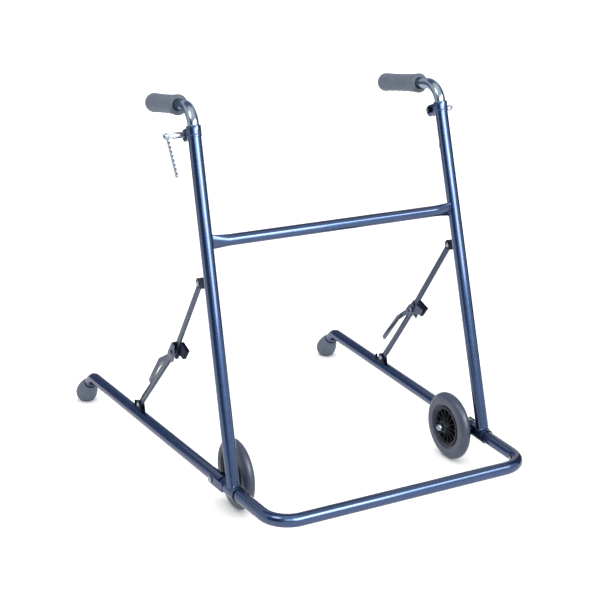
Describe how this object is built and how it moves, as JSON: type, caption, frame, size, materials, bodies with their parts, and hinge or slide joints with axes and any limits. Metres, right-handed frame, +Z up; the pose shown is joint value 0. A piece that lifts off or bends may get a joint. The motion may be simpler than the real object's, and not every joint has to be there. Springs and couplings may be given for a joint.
{
  "type": "wheeled walker",
  "caption": "Folding tubular walking frame with front wheels, rubber rear feet, a crossbar and clamped height-adjustable handles.",
  "frame": {"origin": "on the floor, under the middle of the overall box", "axes": "+Z up, -Y towards the closed front of the base tube, +Y towards the rear feet, +X towards the side whose drop rod hangs straight"},
  "size_m": [0.7242, 0.9747, 0.8251],
  "materials": {
    "blue_lacquer": "metallic blue lacquer, semi-gloss",
    "strut_lacquer": "grey-blue lacquer, satin",
    "black_bracket": "black enamel, satin",
    "black_moulding": "moulded black plastic, satin",
    "chrome": "bright chrome plate",
    "zinc": "bright zinc plate",
    "spring_steel": "plain spring wire",
    "grey_rubber": "blue-grey soft rubber, matte",
    "grey_tyre": "smooth solid grey tyre"
  },
  "bodies": {
    "frame": {"front_tube": "blue_lacquer", "crossbar": "blue_lacquer", "side_bracket_right": "blue_lacquer", "upright_right": "blue_lacquer", "clamp_collar_right": "blue_lacquer", "clamp_nut_right": "zinc", "upper_strut_bracket_right": "black_bracket", "upper_strut_pin_right": "zinc", "axle_bolt_right": "zinc", "axle_nut_right": "zinc", "axle_spacer_right": "zinc", "side_bracket_left": "blue_lacquer", "upright_left": "blue_lacquer", "clamp_collar_left": "blue_lacquer", "clamp_nut_left": "zinc", "upper_strut_bracket_left": "black_bracket", "upper_strut_pin_left": "zinc", "axle_bolt_left": "zinc", "axle_nut_left": "zinc", "axle_spacer_left": "zinc"},
    "leg_right": {"leg_tube_right": "blue_lacquer", "ferrule_right": "grey_rubber", "lower_strut_bracket_right": "black_bracket", "lower_strut_pin_right": "zinc"},
    "wheel_right": {"tyre_right": "grey_tyre", "wheel_rim_right": "black_moulding", "hub_bush_right": "zinc"},
    "upper_strut_right": {"upper_strut_right": "strut_lacquer", "knee_nut_right": "zinc", "lever_spring_right": "spring_steel"},
    "lower_strut_right": {"lower_strut_right": "strut_lacquer", "knee_gusset_right": "strut_lacquer", "knee_bolt_right": "zinc"},
    "release_right": {"release_lever_right": "strut_lacquer", "latch_tab_right": "black_moulding"},
    "handle_right": {"handle_tube_right": "chrome", "grip_right": "grey_rubber"},
    "clamp_right": {"clamp_screw_right": "zinc"},
    "rod_slider_right": {"rod_pin_right": "zinc"},
    "rod_right": {"drop_rod_right": "zinc"},
    "leg_left": {"leg_tube_left": "blue_lacquer", "ferrule_left": "grey_rubber", "lower_strut_bracket_left": "black_bracket", "lower_strut_pin_left": "zinc"},
    "wheel_left": {"tyre_left": "grey_tyre", "wheel_rim_left": "black_moulding", "hub_bush_left": "zinc"},
    "upper_strut_left": {"upper_strut_left": "strut_lacquer", "knee_nut_left": "zinc", "lever_spring_left": "spring_steel"},
    "lower_strut_left": {"lower_strut_left": "strut_lacquer", "knee_gusset_left": "strut_lacquer", "knee_bolt_left": "zinc"},
    "release_left": {"release_lever_left": "strut_lacquer", "latch_tab_left": "black_moulding"},
    "handle_left": {"handle_tube_left": "chrome", "grip_left": "grey_rubber"},
    "clamp_left": {"clamp_screw_left": "zinc"},
    "rod_slider_left": {"rod_pin_left": "zinc"},
    "rod_left": {"drop_rod_left": "zinc"}
  },
  "joints": [
    {"name": "leg_fold_right", "type": "hinge", "parent": "frame", "child": "leg_right", "pos_m": [0.3027, -0.23398, 0.075], "axis": [1, 0, 0], "range_deg": [0, 60]},
    {"name": "wheel_spin_right", "type": "hinge", "parent": "frame", "child": "wheel_right", "pos_m": [0.261, -0.23398, 0.075], "axis": [1, 0, 0], "continuous": true},
    {"name": "upper_strut_swing_right", "type": "hinge", "parent": "frame", "child": "upper_strut_right", "pos_m": [0.297, -0.15877, 0.4675], "axis": [1, 0, 0], "range_deg": [0, 100.9]},
    {"name": "lower_strut_swing_right", "type": "hinge", "parent": "leg_right", "child": "lower_strut_right", "pos_m": [0.3185, 0.14352, 0.1008], "axis": [1, 0, 0], "range_deg": [-119.9, 0]},
    {"name": "release_press_right", "type": "hinge", "parent": "upper_strut_right", "child": "release_right", "pos_m": [0.297, -0.0175, 0.27601], "axis": [1, 0, 0], "range_deg": [0, 8], "stiffness_Nm_per_rad": 2},
    {"name": "handle_height_right", "type": "slide", "parent": "frame", "child": "handle_right", "axis": [-0.019, 0.2605, 0.9653], "range_m": [0, 0.2]},
    {"name": "clamp_turn_right", "type": "hinge", "parent": "frame", "child": "clamp_right", "pos_m": [0.28722, -0.08963, 0.75373], "axis": [1, 0, 0], "range_deg": [0, 90]},
    {"name": "rod_slide_right", "type": "slide", "parent": "clamp_right", "child": "rod_slider_right", "axis": [1, 0, 0], "range_m": [0, 0.0274]},
    {"name": "rod_swing_right", "type": "hinge", "parent": "rod_slider_right", "child": "rod_right", "pos_m": [0.30582, -0.08963, 0.75373], "axis": [0, 1, 0], "range_deg": [-100, 25]},
    {"name": "leg_fold_left", "type": "hinge", "parent": "frame", "child": "leg_left", "pos_m": [-0.3027, -0.23398, 0.075], "axis": [1, 0, 0], "range_deg": [0, 60]},
    {"name": "wheel_spin_left", "type": "hinge", "parent": "frame", "child": "wheel_left", "pos_m": [-0.261, -0.23398, 0.075], "axis": [1, 0, 0], "continuous": true},
    {"name": "upper_strut_swing_left", "type": "hinge", "parent": "frame", "child": "upper_strut_left", "pos_m": [-0.297, -0.15877, 0.4675], "axis": [1, 0, 0], "range_deg": [0, 100.9]},
    {"name": "lower_strut_swing_left", "type": "hinge", "parent": "leg_left", "child": "lower_strut_left", "pos_m": [-0.3185, 0.14352, 0.1008], "axis": [1, 0, 0], "range_deg": [-119.9, 0]},
    {"name": "release_press_left", "type": "hinge", "parent": "upper_strut_left", "child": "release_left", "pos_m": [-0.297, -0.0175, 0.27601], "axis": [1, 0, 0], "range_deg": [0, 8], "stiffness_Nm_per_rad": 2},
    {"name": "handle_height_left", "type": "slide", "parent": "frame", "child": "handle_left", "axis": [0.019, 0.2605, 0.9653], "range_m": [0, 0.2]},
    {"name": "clamp_turn_left", "type": "hinge", "parent": "frame", "child": "clamp_left", "pos_m": [-0.28722, -0.08963, 0.75373], "axis": [1, 0, 0], "range_deg": [0, 90]},
    {"name": "rod_slide_left", "type": "slide", "parent": "clamp_left", "child": "rod_slider_left", "axis": [1, 0, 0], "range_m": [0, 0.0274]},
    {"name": "rod_swing_left", "type": "hinge", "parent": "rod_slider_left", "child": "rod_left", "pos_m": [-0.33322, -0.08963, 0.75373], "axis": [0, 1, 0], "range_deg": [-12.4, 112.6]}
  ],
  "couplings": [
    {"joint": "upper_strut_swing_right", "follows": "leg_fold_right", "ratio": 1.6798},
    {"joint": "lower_strut_swing_right", "follows": "leg_fold_right", "ratio": -1.9968},
    {"joint": "upper_strut_swing_left", "follows": "leg_fold_left", "ratio": 1.6798},
    {"joint": "lower_strut_swing_left", "follows": "leg_fold_left", "ratio": -1.9968}
  ]
}
